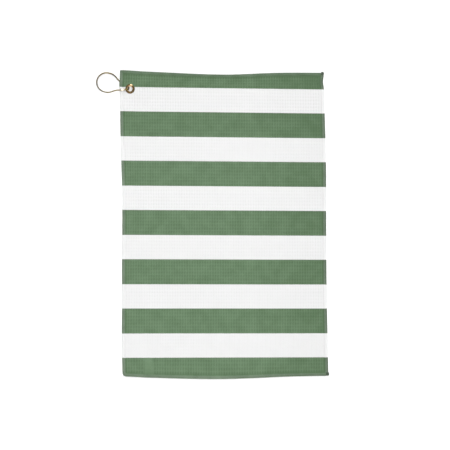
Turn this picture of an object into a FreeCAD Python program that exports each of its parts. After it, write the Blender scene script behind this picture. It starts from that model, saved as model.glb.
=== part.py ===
"""Golf towel with a set grommet and a sprung wire clip, lying flat on a surface.

Frame: millimetres, +Z up off the surface, +Y along the towel towards the clipped end.
The origin lies under the middle of the whole object, on the surface.
The towel lies on the surface except for its top left corner, which the clip's back leg holds up.
"""
import FreeCAD, Part
import math
import os
import Sketcher

SIZES = [
    # the towel's outline as it lies, corner by corner
    ("top_left_x", -185.4), ("top_left_y", 305.1),
    ("top_right_x", 220.2), ("top_right_y", 299.1),
    ("bottom_right_x", 229.8), ("bottom_right_y", -303.5),
    ("bottom_left_x", -179.4), ("bottom_left_y", -305.1),
    ("corner_radius", 6.0), ("inner_radius", 8.0),
    # thicknesses of the cloth and of the thread wrapped round its edge
    ("cloth_thick", 1.8), ("hem_width", 6.0), ("thread_lip", 0.4), ("thread_wrap", 0.5),
    ("mitre_depth", 30.0),
    # the lifted corner: a ramp across the corner, measured from the grommet's middle
    ("corner_lift", 3.4), ("crease_angle", 30.0), ("ramp_top", -13.0), ("ramp_foot", -29.0),
    ("bend_radius", 30.0), ("slab_reach", 700.0), ("slab_corner", 120.0), ("slab_width", 1300.0),
    # the two-part grommet
    ("hole_x", -164.7), ("hole_y", 266.9), ("hole_dia", 9.5), ("barrel_wall", 0.5),
    ("flange_dia", 19.0), ("flange_thick", 0.7), ("washer_thick", 0.45),
    ("lip_reach", 0.75), ("lip_depth", 0.3), ("flange_round", 0.45),
    # the care label sewn into the bottom hem, against the back of the towel
    ("label_x", -137.2), ("label_low", -300.4), ("label_high", -267.0),
    ("label_width", 18.0), ("label_thick", 0.5),
    # the loose ends of the edge thread at the two right corners
    ("tail_dia", 1.6), ("tail_length", 2.5), ("tail_inset", 7.0),
    # the wire clip, along its own length from the grommet's middle to the bulb
    ("clip_heading", 164.6), ("wire_dia", 2.4), ("back_height", 1.35), ("front_height", 7.6),
    ("bulb_reach", 48.4), ("bulb_radius", 19.6), ("leg_angle", 32.8),
    ("neck_reach", 25.4), ("neck_half", 9.9), ("neck_radius", 20.0),
    ("eye_reach", 2.6), ("eye_half", 2.0), ("eye_radius", 2.2),
    ("tip_reach", 13.6), ("tip_half", 5.4), ("split_gap", 0.72),
    # the catch: a channel on the end of the front arm that holds the pointed tip
    ("catch_reach", 9.8), ("catch_length", 8.1), ("catch_floor", 0.6), ("catch_wall", 0.9),
    ("catch_play", 0.25), ("catch_cap", 2.3), ("catch_offset", 0.6),
]
SIDES = ("top", "right", "bottom", "left")
CORNERS = {
    "top": ("top_left", "top_right"),
    "right": ("top_right", "bottom_right"),
    "bottom": ("bottom_right", "bottom_left"),
    "left": ("bottom_left", "top_left"),
}
INWARD = {"top_left": (1, -1), "top_right": (-1, -1), "bottom_right": (-1, 1), "bottom_left": (1, 1)}

doc = FreeCAD.newDocument("golf_towel")
sheet = doc.addObject("Spreadsheet::Sheet", "Sheet")
pieces = {}


def fill_sheet():
    for row, (alias, number) in enumerate(SIZES, start=1):
        sheet.set(f"A{row}", alias)
        sheet.set(f"B{row}", str(number))
        sheet.setAlias(f"B{row}", alias)
    doc.recompute()


def size(alias):
    return float(sheet.get(alias))


def keep(node, piece):
    """Give a finished sub-part the label that names its file."""
    piece.Label = node
    pieces[node] = piece
    return piece


def bind(target, **links):
    for name, text in links.items():
        target.setExpression(name.replace("__", "."), text)
    return target


def new_sketch(body, name, role):
    sketch = body.newObject("Sketcher::SketchObject", name)
    plane = next(part for part in body.Origin.OriginFeatures if part.Role == role)
    sketch.AttachmentSupport = [(plane, "")]
    sketch.MapMode = "FlatFace"
    return sketch


def draw_polygon(sketch, corners):
    """Draw a closed outline whose corners are pairs of expressions."""
    count = len(corners)
    turns = [2 * math.pi * index / count for index in range(count)]
    ring = [FreeCAD.Vector(100 * math.cos(turn), 100 * math.sin(turn), 0) for turn in turns]
    for index in range(count):
        sketch.addGeometry(Part.LineSegment(ring[index], ring[(index + 1) % count]))
    for index in range(count):
        sketch.addConstraint(Sketcher.Constraint("Coincident", index, 2, (index + 1) % count, 1))
    for index, corner in enumerate(corners):
        for axis, text in zip("XY", corner):
            rule = sketch.addConstraint(Sketcher.Constraint("Distance" + axis, -1, 1, index, 1, 1.0))
            sketch.renameConstraint(rule, f"corner_{index}_{axis}")
            sketch.setExpression(f"Constraints.corner_{index}_{axis}", text)


def edge_names(shape, wanted):
    return [f"Edge{number}" for number, edge in enumerate(shape.Edges, start=1) if wanted(edge)]


def round_edges(body, pad, wanted, radius):
    doc.recompute()
    fillet = body.newObject("PartDesign::Fillet", body.Name + "_round")
    fillet.Base = (pad, edge_names(pad.Shape, wanted))
    bind(fillet, Radius=radius)
    return fillet


def is_upright(edge):
    return abs(edge.tangentAt(edge.FirstParameter).z) > 0.99


def outline_body(name, inset, radius):
    """A tall prism over the towel's outline, drawn in by the inset."""
    body = doc.addObject("PartDesign::Body", name)
    sketch = new_sketch(body, name + "_outline", "XY_Plane")
    corners = []
    for corner, (right, up) in INWARD.items():
        across = f"Sheet.{corner}_x + {right} * ({inset})"
        along = f"Sheet.{corner}_y + {up} * ({inset})"
        corners.append((across, along))
    draw_polygon(sketch, corners)
    pad = body.newObject("PartDesign::Pad", name + "_pad")
    pad.Profile = sketch
    pad.Midplane = True
    bind(pad, Length="Sheet.mitre_depth")
    round_edges(body, pad, is_upright, radius)
    return body


def slab_body(name, low, high):
    """A wide sheet between two heights, with the ramp up to the lifted corner."""
    body = doc.addObject("PartDesign::Body", name)
    sketch = new_sketch(body, name + "_profile", "XZ_Plane")
    half_bend = "tan(atan(Sheet.corner_lift / (Sheet.ramp_top - Sheet.ramp_foot)) / 2)"
    profile = []
    for level, run in ((low, 1), (high, -1)):
        foot = (f"Sheet.ramp_foot - ({level}) * {half_bend}", level)
        top = (f"Sheet.ramp_top - ({level}) * {half_bend}", f"{level} + Sheet.corner_lift")
        line = [("-Sheet.slab_reach", level), foot, top,
                ("Sheet.slab_corner", f"{level} + Sheet.corner_lift")]
        profile += line[::run]
    draw_polygon(sketch, profile)
    pad = body.newObject("PartDesign::Pad", name + "_pad")
    pad.Profile = sketch
    pad.Midplane = True
    bind(pad, Length="Sheet.slab_width")
    ramp = (size("ramp_foot") - 1, size("ramp_top") + 1)

    def is_bend(edge):
        start = edge.Vertexes[0].Point
        return abs(edge.tangentAt(edge.FirstParameter).y) > 0.99 and ramp[0] < start.x < ramp[1]

    round_edges(body, pad, is_bend, "Sheet.bend_radius")
    bind(body, Placement__Base__x="Sheet.hole_x", Placement__Base__y="Sheet.hole_y",
         Placement__Rotation__Angle="90 + Sheet.crease_angle")
    body.Placement.Rotation.Axis = FreeCAD.Vector(0, 0, 1)
    return body


def boolean(kind, name, first, *others):
    """Join, cut or intersect whole sub-shapes."""
    if kind == "Cut":
        result = doc.addObject("Part::Cut", name)
        result.Base = first
        result.Tool = others[0]
        return result
    result = doc.addObject("Part::" + kind, name)
    result.Shapes = [first, *others]
    return result


def revolved(name, profile):
    """Turn an outline of (radius, height) expressions about the grommet's axis."""
    body = doc.addObject("PartDesign::Body", name)
    sketch = new_sketch(body, name + "_profile", "XZ_Plane")
    draw_polygon(sketch, profile)
    turn = body.newObject("PartDesign::Revolution", name + "_turn")
    turn.Profile = sketch
    turn.ReferenceAxis = (sketch, ["V_Axis"])
    turn.Angle = 360
    bind(body, Placement__Base__x="Sheet.hole_x", Placement__Base__y="Sheet.hole_y",
         Placement__Base__z="Sheet.corner_lift")
    return body, turn


def make_cloth(full, core, outer, label):
    """Waffle cloth: full thickness in the field, pressed thin under the edge thread."""
    inner = outline_body("hem_line", "Sheet.hem_width", "Sheet.inner_radius")
    edge = outline_body("cloth_edge", "Sheet.thread_wrap", "Sheet.corner_radius - Sheet.thread_wrap")
    field = boolean("MultiCommon", "cloth_field", full, inner)
    border = boolean("MultiCommon", "cloth_border", core, edge)
    blank = boolean("MultiFuse", "cloth_blank", field, border)
    hole = doc.addObject("Part::Cylinder", "punched_hole")
    bind(hole, Radius="Sheet.hole_dia / 2 + Sheet.barrel_wall", Height="4 * Sheet.cloth_thick",
         Placement__Base__x="Sheet.hole_x", Placement__Base__y="Sheet.hole_y")
    punched = boolean("Cut", "cloth_punched", blank, hole)
    keep("towel_cloth", boolean("Cut", "towel_cloth", punched, label))
    whole = boolean("MultiCommon", "towel_whole", full, outer)
    return boolean("Cut", "hem_ring", whole, blank)


def make_overlock(ring):
    """The edge thread: four runs round the cloth's edge, mitred where they meet."""
    for side in SIDES:
        body = doc.addObject("PartDesign::Body", "sector_" + side)
        sketch = new_sketch(body, "sector_sketch_" + side, "XY_Plane")
        corners = []
        for corner in CORNERS[side]:
            corners.append((f"Sheet.{corner}_x", f"Sheet.{corner}_y"))
        for corner in reversed(CORNERS[side]):
            right, up = INWARD[corner]
            corners.append((f"Sheet.{corner}_x + {right} * Sheet.mitre_depth",
                            f"Sheet.{corner}_y + {up} * Sheet.mitre_depth"))
        draw_polygon(sketch, corners)
        pad = body.newObject("PartDesign::Pad", "sector_pad_" + side)
        pad.Profile = sketch
        pad.Midplane = True
        bind(pad, Length="Sheet.mitre_depth")
        keep("overlock_" + side, boolean("MultiCommon", "overlock_" + side, ring, body))


def make_tails():
    """The ends of the edge thread, standing out from the right edge near its two corners."""
    lean = "atan((Sheet.bottom_right_x - Sheet.top_right_x) / (Sheet.top_right_y - Sheet.bottom_right_y))"
    for corner, up in (("top_right", -1), ("bottom_right", 1)):
        tail = doc.addObject("Part::Cylinder", "thread_tail_" + corner)
        bind(tail, Radius="Sheet.tail_dia / 2", Height="Sheet.tail_length",
             Placement__Base__x=f"Sheet.{corner}_x - {up} * Sheet.tail_inset * tan({lean})",
             Placement__Base__y=f"Sheet.{corner}_y + {up} * Sheet.tail_inset",
             Placement__Base__z="Sheet.cloth_thick / 2")
        outward = math.atan2(size("bottom_right_x") - size("top_right_x"),
                             size("top_right_y") - size("bottom_right_y"))
        tail.Placement.Rotation = FreeCAD.Rotation(
            FreeCAD.Vector(0, 0, 1), FreeCAD.Vector(math.cos(outward), math.sin(outward), 0))
        keep("thread_tail_" + corner, tail)


def make_label():
    label = doc.addObject("Part::Box", "label_blank")
    bind(label, Length="Sheet.label_width", Width="Sheet.label_high - Sheet.label_low",
         Height="Sheet.label_thick", Placement__Base__x="Sheet.label_x",
         Placement__Base__y="Sheet.label_low")
    return label


def make_grommet():
    """A two-part grommet: the eyelet's barrel is rolled over the washer behind the cloth."""
    bore = "Sheet.hole_dia / 2"
    barrel = "Sheet.hole_dia / 2 + Sheet.barrel_wall"
    lip = "Sheet.hole_dia / 2 + Sheet.barrel_wall + Sheet.lip_reach"
    rim = "Sheet.flange_dia / 2"
    back = "-Sheet.washer_thick"
    seat = "Sheet.lip_depth - Sheet.washer_thick"
    front = "Sheet.cloth_thick"
    crown = "Sheet.cloth_thick + Sheet.flange_thick"
    eyelet, turn = revolved("eyelet", [(bore, back), (lip, back), (barrel, seat), (barrel, front),
                                       (rim, front), (rim, crown), (bore, crown)])
    crown_height = size("cloth_thick") + size("flange_thick")

    def is_crown(edge):
        middle = edge.valueAt(edge.FirstParameter)
        return abs(middle.z - crown_height) < 1e-6 and edge.Closed

    round_edges(eyelet, turn, is_crown, "Sheet.flange_round")
    keep("grommet_eyelet", eyelet)
    washer, turn = revolved("washer", [(lip, back), (rim, back), (rim, "0"), (barrel, "0"),
                                       (barrel, seat)])
    keep("grommet_washer", washer)


def rounded_path(points, radii):
    """Straight runs through the points, joined by tangent arcs of the given radii."""
    edges = []
    here = points[0]
    for before, corner, after, radius in zip(points, points[1:], points[2:], radii):
        back = (before - corner).normalize()
        ahead = (after - corner).normalize()
        half = (math.pi - back.getAngle(ahead)) / 2
        setback = radius * math.tan(half)
        start = corner + back * setback
        end = corner + ahead * setback
        bisector = (back + ahead).normalize()
        middle = corner + bisector * (radius / math.cos(half) - radius)
        if (start - here).Length > 1e-6:
            edges.append(Part.LineSegment(here, start).toShape())
        edges.append(Part.Arc(start, middle, end).toShape())
        here = end
    edges.append(Part.LineSegment(here, points[-1]).toShape())
    return Part.Wire(edges)


def arm_points(side, height):
    """One arm of the clip from the bulb's far end to the neck; side is -1 at the back, +1 in front."""
    reach = size("bulb_reach") + size("bulb_radius")
    middle = (size("front_height") + size("back_height")) / 2
    rise = size("front_height") - middle
    half = math.sqrt(size("bulb_radius") ** 2 - rise ** 2)
    slope = math.tan(math.radians(size("leg_angle")))
    shoulder = size("neck_reach") + (half - size("neck_half")) / slope
    return [
        FreeCAD.Vector(reach, 0, middle),
        FreeCAD.Vector(reach, side * half, height),
        FreeCAD.Vector(shoulder, side * half, height),
        FreeCAD.Vector(size("neck_reach"), side * size("neck_half"), height),
    ]


def tip_line():
    """The pin's front end: from the corner over the eye to the tip."""
    over_eye = FreeCAD.Vector(size("eye_reach"), size("eye_half"), size("front_height"))
    tip = FreeCAD.Vector(size("tip_reach"), size("tip_half"), size("front_height"))
    return over_eye, tip


def swept_wire(name, points, radii):
    """Round wire along a path, with its ends left flat."""
    path = doc.addObject("Part::Feature", name + "_path")
    path.Shape = rounded_path(points, radii)
    section = doc.addObject("Part::Circle", name + "_section")
    bind(section, Radius="Sheet.wire_dia / 2")
    first = path.Shape.Edges[0]
    direction = first.tangentAt(first.FirstParameter)
    section.Placement = FreeCAD.Placement(points[0], FreeCAD.Rotation(FreeCAD.Vector(0, 0, 1), direction))
    sweep = doc.addObject("Part::Sweep", name + "_sweep")
    sweep.Sections = [section]
    sweep.Spine = (path, [f"Edge{number + 1}" for number in range(len(path.Shape.Edges))])
    sweep.Solid = True
    return sweep


def split_tool(name):
    """The slot that parts the two arms at the bulb's far end."""
    tool = doc.addObject("Part::Box", name)
    bind(tool, Length="4 * Sheet.wire_dia", Width="Sheet.split_gap", Height="2 * Sheet.front_height",
         Placement__Base__x="Sheet.bulb_reach + Sheet.bulb_radius - 2 * Sheet.wire_dia",
         Placement__Base__y="-Sheet.split_gap / 2")
    return tool


def lay_on_towel(piece):
    """Turn a clip piece to its heading about the grommet's middle."""
    piece.Placement.Rotation = FreeCAD.Rotation(FreeCAD.Vector(0, 0, 1), size("clip_heading"))
    bind(piece, Placement__Base__x="Sheet.hole_x", Placement__Base__y="Sheet.hole_y",
         Placement__Rotation__Angle="Sheet.clip_heading")
    return piece


def make_clip_wire():
    """The pin: back arm of the bulb, under the towel, up through the eye, to the tip in front."""
    low = size("back_height")
    eye = FreeCAD.Vector(size("eye_reach"), -size("eye_half"), low)
    over_eye, tip = tip_line()
    points = arm_points(-1, low) + [eye, over_eye, tip]
    radii = [size("bulb_radius"), size("bulb_radius"), size("neck_radius"),
             size("eye_radius"), size("eye_radius")]
    wire = swept_wire("pin", points, radii)
    point = doc.addObject("Part::Sphere", "pin_point")
    bind(point, Radius="Sheet.wire_dia / 2")
    point.Placement.Base = tip
    pin = boolean("MultiFuse", "pin_blank", wire, point)
    keep("clip_wire", lay_on_towel(boolean("Cut", "clip_wire", pin, split_tool("pin_split"))))


def make_catch():
    """The channel that the tip springs into, open towards the clip's long axis."""
    over_eye, tip = tip_line()
    along = (tip - over_eye).normalize()
    start = over_eye + along * (size("catch_reach") - size("eye_reach"))
    turn = FreeCAD.Rotation(FreeCAD.Vector(1, 0, 0), along)
    half = "(Sheet.wire_dia / 2 + Sheet.catch_play)"
    block = doc.addObject("Part::Box", "catch_block")
    bind(block, Length="Sheet.catch_length", Width=f"2 * {half} + Sheet.catch_wall",
         Height=f"2 * ({half} + Sheet.catch_floor)")
    slot = doc.addObject("Part::Box", "catch_slot")
    bind(slot, Length="Sheet.catch_length", Width=f"3 * {half}", Height=f"2 * {half}")
    room = size("wire_dia") / 2 + size("catch_play")
    block_corner = FreeCAD.Vector(0, -room, -room - size("catch_floor"))
    slot_corner = FreeCAD.Vector(-size("catch_cap"), -2 * room, -room)
    block.Placement = FreeCAD.Placement(start + turn.multVec(block_corner), turn)
    slot.Placement = FreeCAD.Placement(start + turn.multVec(slot_corner), turn)
    cap_middle = start + turn.multVec(
        FreeCAD.Vector(size("catch_length") - size("catch_cap") / 2, size("catch_offset"), 0))
    return boolean("Cut", "catch", block, slot), cap_middle


def make_catch_arm():
    """The front arm of the bulb, ending in the catch."""
    catch, cap_middle = make_catch()
    points = arm_points(1, size("front_height")) + [cap_middle]
    radii = [size("bulb_radius"), size("bulb_radius"), size("neck_radius")]
    wire = swept_wire("arm", points, radii)
    arm = boolean("MultiFuse", "arm_blank", wire, catch)
    keep("clip_catch_arm", lay_on_towel(boolean("Cut", "clip_catch_arm", arm, split_tool("arm_split"))))


def check_and_write():
    """Stop on any failed object or unsound shape, then write one file for each sub-part."""
    doc.recompute()
    failed = [item.Name for item in doc.Objects if {"Invalid", "Error"} & set(item.State)]
    if failed:
        raise RuntimeError(f"failed objects: {failed}")
    for node, piece in pieces.items():
        if piece.Shape.isNull() or not piece.Shape.isValid() or not piece.Shape.Solids:
            raise RuntimeError(f"{node} has no sound shape")
    os.makedirs("parts", exist_ok=True)
    for node, piece in pieces.items():
        piece.Shape.exportStep(f"parts/{node}.step")
        box = piece.Shape.BoundBox
        print(f"{node}: {len(piece.Shape.Solids)} solid, {piece.Shape.Volume:.1f} mm3, "
              f"x {box.XMin:.2f}..{box.XMax:.2f}, y {box.YMin:.2f}..{box.YMax:.2f}, "
              f"z {box.ZMin:.2f}..{box.ZMax:.2f}")


fill_sheet()
full_slab = slab_body("full_slab", "0", "Sheet.cloth_thick")
core_slab = slab_body("core_slab", "Sheet.thread_lip", "Sheet.cloth_thick - Sheet.thread_lip")
outer_prism = outline_body("towel_outline", "0", "Sheet.corner_radius")
label_blank = make_label()
hem_ring = make_cloth(full_slab, core_slab, outer_prism, label_blank)
make_overlock(hem_ring)
keep("care_label", boolean("Cut", "care_label", label_blank, pieces["overlock_bottom"]))
make_tails()
make_grommet()
make_clip_wire()
make_catch_arm()
check_and_write()
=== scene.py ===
"""Looks of the golf towel: printed waffle cloth, overlocked edge, set grommet and sprung wire clip.

Lengths are millimetres until a mesh is made, which turns them into metres. The floor and the
light are placed in metres.
"""
import math

import bmesh
import bpy
import numpy as np
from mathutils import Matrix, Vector


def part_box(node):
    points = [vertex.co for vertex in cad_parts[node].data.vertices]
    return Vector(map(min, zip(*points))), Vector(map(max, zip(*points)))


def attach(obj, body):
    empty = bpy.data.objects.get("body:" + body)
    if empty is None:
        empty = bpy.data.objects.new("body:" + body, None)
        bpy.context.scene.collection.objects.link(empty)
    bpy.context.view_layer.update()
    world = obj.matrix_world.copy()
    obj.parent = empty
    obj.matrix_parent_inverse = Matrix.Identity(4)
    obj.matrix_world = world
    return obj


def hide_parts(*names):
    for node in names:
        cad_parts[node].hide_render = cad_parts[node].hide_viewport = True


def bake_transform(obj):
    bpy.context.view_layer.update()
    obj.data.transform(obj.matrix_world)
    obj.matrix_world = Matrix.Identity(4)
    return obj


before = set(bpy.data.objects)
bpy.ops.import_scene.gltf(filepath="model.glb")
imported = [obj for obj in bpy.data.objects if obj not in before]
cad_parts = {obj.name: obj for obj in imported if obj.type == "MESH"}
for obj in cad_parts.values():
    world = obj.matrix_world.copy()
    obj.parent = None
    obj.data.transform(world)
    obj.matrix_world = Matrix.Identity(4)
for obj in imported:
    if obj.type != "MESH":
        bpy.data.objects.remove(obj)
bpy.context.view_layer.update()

MM = 0.001
SEED = 7

# The towel as cut, and where its corners lie
CUT_WIDTH, CUT_LENGTH = 406.0, 606.0
BOTTOM_LEFT, BOTTOM_RIGHT = (-179.0, -304.9), (229.4, -303.5)
TOP_LEFT, TOP_RIGHT = (-185.2, 304.3), (220.6, 298.9)
# The corners' reach, and how round each is: left and right, bottom and top
CORNER_REACH = 8.0
ROUNDNESS = ((0.85, 0.2), (0.3, 0.15))

# The waffle: cells across and along, and the cloth's faces above its underside
CELLS_ACROSS, CELLS_ALONG = 80, 90
CREST, WELL, BACK_WELL = 1.85, 1.1, 0.65
PRESSED_FRONT, PRESSED_BACK = 1.45, 0.35
HEM_WIDTH = 6.2

# The stripes, from the top edge down
FIRST_STRIPE, STRIPE = 32.8, 48.78

# How far each side bows: the distance, its middle along the side, and its spread before and after
LEFT_BOWS = ((2.3, 0.58, 0.17, 0.14), (-1.6, 0.1, 0.1, 0.1), (-1.2, 0.95, 0.02, 0.015))
RIGHT_BOWS = ((1.6, 0.7, 0.16, 0.15), (-0.8, 0.26, 0.12, 0.14), (-2.0, 0.972, 0.02, 0.015))
TOP_BOWS, BOTTOM_BOWS = ((-6.0, 0.5, 0.37, 0.21),), ((-5.8, 0.47, 0.38, 0.28),)
# How far into the cloth the bows of the sides, the top and the bottom are felt
SIDE_REACH, TOP_REACH, BOTTOM_REACH = 40, 30, 34
# The share of the width beside the left corners where the top and the bottom don't bow
UNBOWED_SHARE = 0.12

# Low waves in the cloth: half height, length across, length along, start
WAVES = ((0.28, 47, 160, 0.6), (0.22, -110, 63, 2.0))
HEM_WAVE, HEM_WAVE_ACROSS, HEM_WAVE_ALONG, HEM_WAVE_REACH = 0.45, 13.5, 17.0, 26

# The lifted corner and its crease
LIFT = 3.4
CREASE_X, CREASE_Y, CREASE_TURN = -97.4, 283.3, math.radians(20.5)
CREASE_BEND, CREASE_HALF, CREASE_WIDENS, CREASE_LENGTH = 0.010, 4.5, 11.5, 32
RIDGE_HEIGHT, RIDGE_ASIDE, RIDGE_WIDTH, RIDGE_LENGTH = 1.1, 9, 6, 30
# The lift is whole down to this y, and below it the lift fades over this distance
HELD_DOWN_TO, SETTLES_OVER = 225.0, 150.0

# The care label behind the bottom left corner, in the cut's own measures
LABEL = (43.2, 58.9, 5.9, 37.9)

# The grommet and the clip
washer_low, washer_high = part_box("grommet_washer")
HOLE = np.array([(washer_low[0] + washer_high[0]) / 2, (washer_low[1] + washer_high[1]) / 2]) / MM
FLANGE_RADIUS = (washer_high[0] - washer_low[0]) / 2 / MM
BORE_RADIUS = 4.75
# The cloth's hole: the radius cleared, the radius its rim is set to, and how far out rim points are sought
CLEARED_RADIUS, CLOTH_HOLE_RADIUS, RIM_SEARCH = 5.6, 5.5, 12
# Near the grommet the cloth is pressed: this far out, at these front and back heights
PRESSED_REACH, HELD_FRONT, HELD_BACK = 20, 1.7, 0.04
# Painted shade along the groove beside the edge thread: its distance in, its spread and its depth of tone
GROOVE_INSET, GROOVE_SPREAD, GROOVE_SHADE = 7.8, 2.6, 0.65
HEADING = math.radians(164.6)
WIRE_RADIUS, WIRE_SIDES, WIRE_STEP = 1.2, 24, 0.6
BACK_HEIGHT, FRONT_HEIGHT = 1.35, 7.6
BULB_REACH, BULB_RADIUS, LEG_ANGLE = 48.4, 19.6, math.radians(32.8)
NECK_REACH, NECK_HALF, NECK_RADIUS = 25.4, 9.9, 20.0
EYE_REACH, EYE_HALF, EYE_RADIUS = 2.6, 2.0, 2.2
TIP_REACH, TIP_HALF = 13.6, 5.4
CATCH_REACH, CATCH_LENGTH, CATCH_CAP = 9.8, 8.1, 2.3


# ---------------------------------------------------------------- shared helpers

def smooth(value):
    value = np.clip(value, 0.0, 1.0)
    return value * value * (3 - 2 * value)


def hump(place, centre, before, after):
    """A rise of 1 at the centre, with its own spread on each side."""
    return np.exp(-((place - centre) / np.where(place < centre, before, after)) ** 2)


def fade(distance, reach):
    return 1 - smooth(distance / reach)


def new_piece(name, points, faces, material, body, cut=None, tone=None, grey=None):
    """A mesh object in metres, shaded smooth but for its flat ends, riding on its body."""
    mesh = bpy.data.meshes.new(name)
    mesh.from_pydata((np.asarray(points) * MM).tolist(), [], faces)
    mesh.validate()
    mesh.shade_smooth()
    sharpen_ends(mesh)
    piece = bpy.data.objects.new(name, mesh)
    bpy.context.scene.collection.objects.link(piece)
    mesh.materials.append(material)
    if cut is not None:
        store(mesh, "cut", "FLOAT_VECTOR", cut)
    if tone is not None:
        store(mesh, "tone", "FLOAT", tone)
    if grey is not None:
        store(mesh, "grey", "FLOAT", grey)
    if body:
        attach(piece, body)
    return piece


def sharpen_ends(mesh):
    """Give the end faces, which have many corners, a crisp rim."""
    ends = [face for face in mesh.polygons if face.loop_total > 4]
    rims = {edge for face in ends for edge in face.edge_keys}
    if rims:
        mesh.edges.foreach_set("use_edge_sharp", [edge.key in rims for edge in mesh.edges])


def store(mesh, name, kind, values):
    field = "vector" if kind == "FLOAT_VECTOR" else "value"
    attribute = mesh.attributes.new(name, kind, "POINT")
    attribute.data.foreach_set(field, np.asarray(values, np.float32).ravel())


# ---------------------------------------------------------------- how the towel lies

def bowed(place, bows):
    """How far a side bows at a place along it, from 0 to 1."""
    return sum(size * hump(place, *shape) for size, *shape in bows)


def plan(across, along):
    """Where a point of the flat cut lies on the surface, seen from above."""
    s, t = across / CUT_WIDTH, along / CUT_LENGTH
    place = []
    for axis in (0, 1):
        low = BOTTOM_LEFT[axis] + (BOTTOM_RIGHT[axis] - BOTTOM_LEFT[axis]) * s
        high = TOP_LEFT[axis] + (TOP_RIGHT[axis] - TOP_LEFT[axis]) * s
        place.append(low + (high - low) * t)
    x, y = place
    x = x + bowed(t, LEFT_BOWS) * fade(across, SIDE_REACH)
    x = x + bowed(t, RIGHT_BOWS) * fade(CUT_WIDTH - across, SIDE_REACH)
    past_corner = smooth(s / UNBOWED_SHARE)
    y = y + bowed(s, TOP_BOWS) * past_corner * fade(CUT_LENGTH - along, TOP_REACH)
    y = y + bowed(s, BOTTOM_BOWS) * past_corner * fade(along, BOTTOM_REACH)
    return x, y


def corner_lift(x, y):
    """How far the clip's back leg holds the corner up, with a crease where it folds down."""
    run = (x - CREASE_X) * math.cos(CREASE_TURN) + (y - CREASE_Y) * math.sin(CREASE_TURN)
    side = (y - CREASE_Y) * math.cos(CREASE_TURN) - (x - CREASE_X) * math.sin(CREASE_TURN)
    side = side + CREASE_BEND * np.minimum(run + 15, 0) ** 2
    half = CREASE_HALF + CREASE_WIDENS * (1 - np.exp(-(run / CREASE_LENGTH) ** 2))
    rise = smooth((side + half) / (2 * half)) * fade(HELD_DOWN_TO - y, SETTLES_OVER)
    ridge = RIDGE_HEIGHT * np.exp(-((side - RIDGE_ASIDE) / RIDGE_WIDTH) ** 2)
    ridge = ridge * np.exp(-(run / RIDGE_LENGTH) ** 2)
    return rise, LIFT * rise + ridge


def edge_distance(across, along):
    """How far a point of the cut is from its nearest edge."""
    return np.minimum(np.minimum(across, CUT_WIDTH - across), np.minimum(along, CUT_LENGTH - along))


def ripple(x, y, across, along):
    """Low waves left in the cloth, and the hem's own waviness near the edges."""
    field = sum(height * (1 + np.sin(x / across_run + y / along_run + start))
                for height, across_run, along_run, start in WAVES)
    to_edge = edge_distance(across, along)
    hem = 1 + np.sin(x / HEM_WAVE_ACROSS + 1.0) * np.sin(y / HEM_WAVE_ALONG + 0.5)
    hem = HEM_WAVE * hem * fade(to_edge, HEM_WAVE_REACH)
    return field + hem


def label_mask(across, along, soft):
    """1 over the care label, fading out over the given distance."""
    left, right, low, high = LABEL
    past_sides = np.maximum(left - across, across - right)
    past_ends = np.maximum(low - along, along - high)
    return fade(np.maximum(np.maximum(past_sides, past_ends), 0), soft)


def lay(across, along, height):
    """Place points of the flat cut, at a height above the cloth's underside."""
    x, y = plan(across, along)
    rise, lifted = corner_lift(x, y)
    base = lifted + (1 - rise) * ripple(x, y, across, along)
    base = base + 0.3 * label_mask(across, along, 5.0)
    return np.stack([x, y, base + height], axis=-1)


def round_corner(across, along):
    """Pull each corner's squares in towards circles, as far as that corner is round."""
    centre_u = np.clip(across, CORNER_REACH, CUT_WIDTH - CORNER_REACH)
    centre_v = np.clip(along, CORNER_REACH, CUT_LENGTH - CORNER_REACH)
    du, dv = across - centre_u, along - centre_v
    reach = np.hypot(du, dv)
    square = np.maximum(np.abs(du), np.abs(dv))
    shrink = np.where(reach > 1e-6, square / np.maximum(reach, 1e-6), 1.0)
    right, top = (across > CUT_WIDTH / 2).astype(int), (along > CUT_LENGTH / 2).astype(int)
    shrink = 1 + (shrink - 1) * np.asarray(ROUNDNESS)[right, top]
    return centre_u + du * shrink, centre_v + dv * shrink


# ---------------------------------------------------------------- the cloth

def cell_lines(cells, length, phases):
    lines = (np.arange(cells)[:, None] + np.asarray(phases)[None, :]) * length / cells
    return np.append(lines.ravel(), length)


def ridge_of(place, pitch, centre, width):
    """1 on the waffle's ridges across one direction and 0 between them."""
    phase = np.mod(place / pitch - centre + 0.5, 1.0) - 0.5
    return smooth(1 - np.abs(phase) / width)


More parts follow.
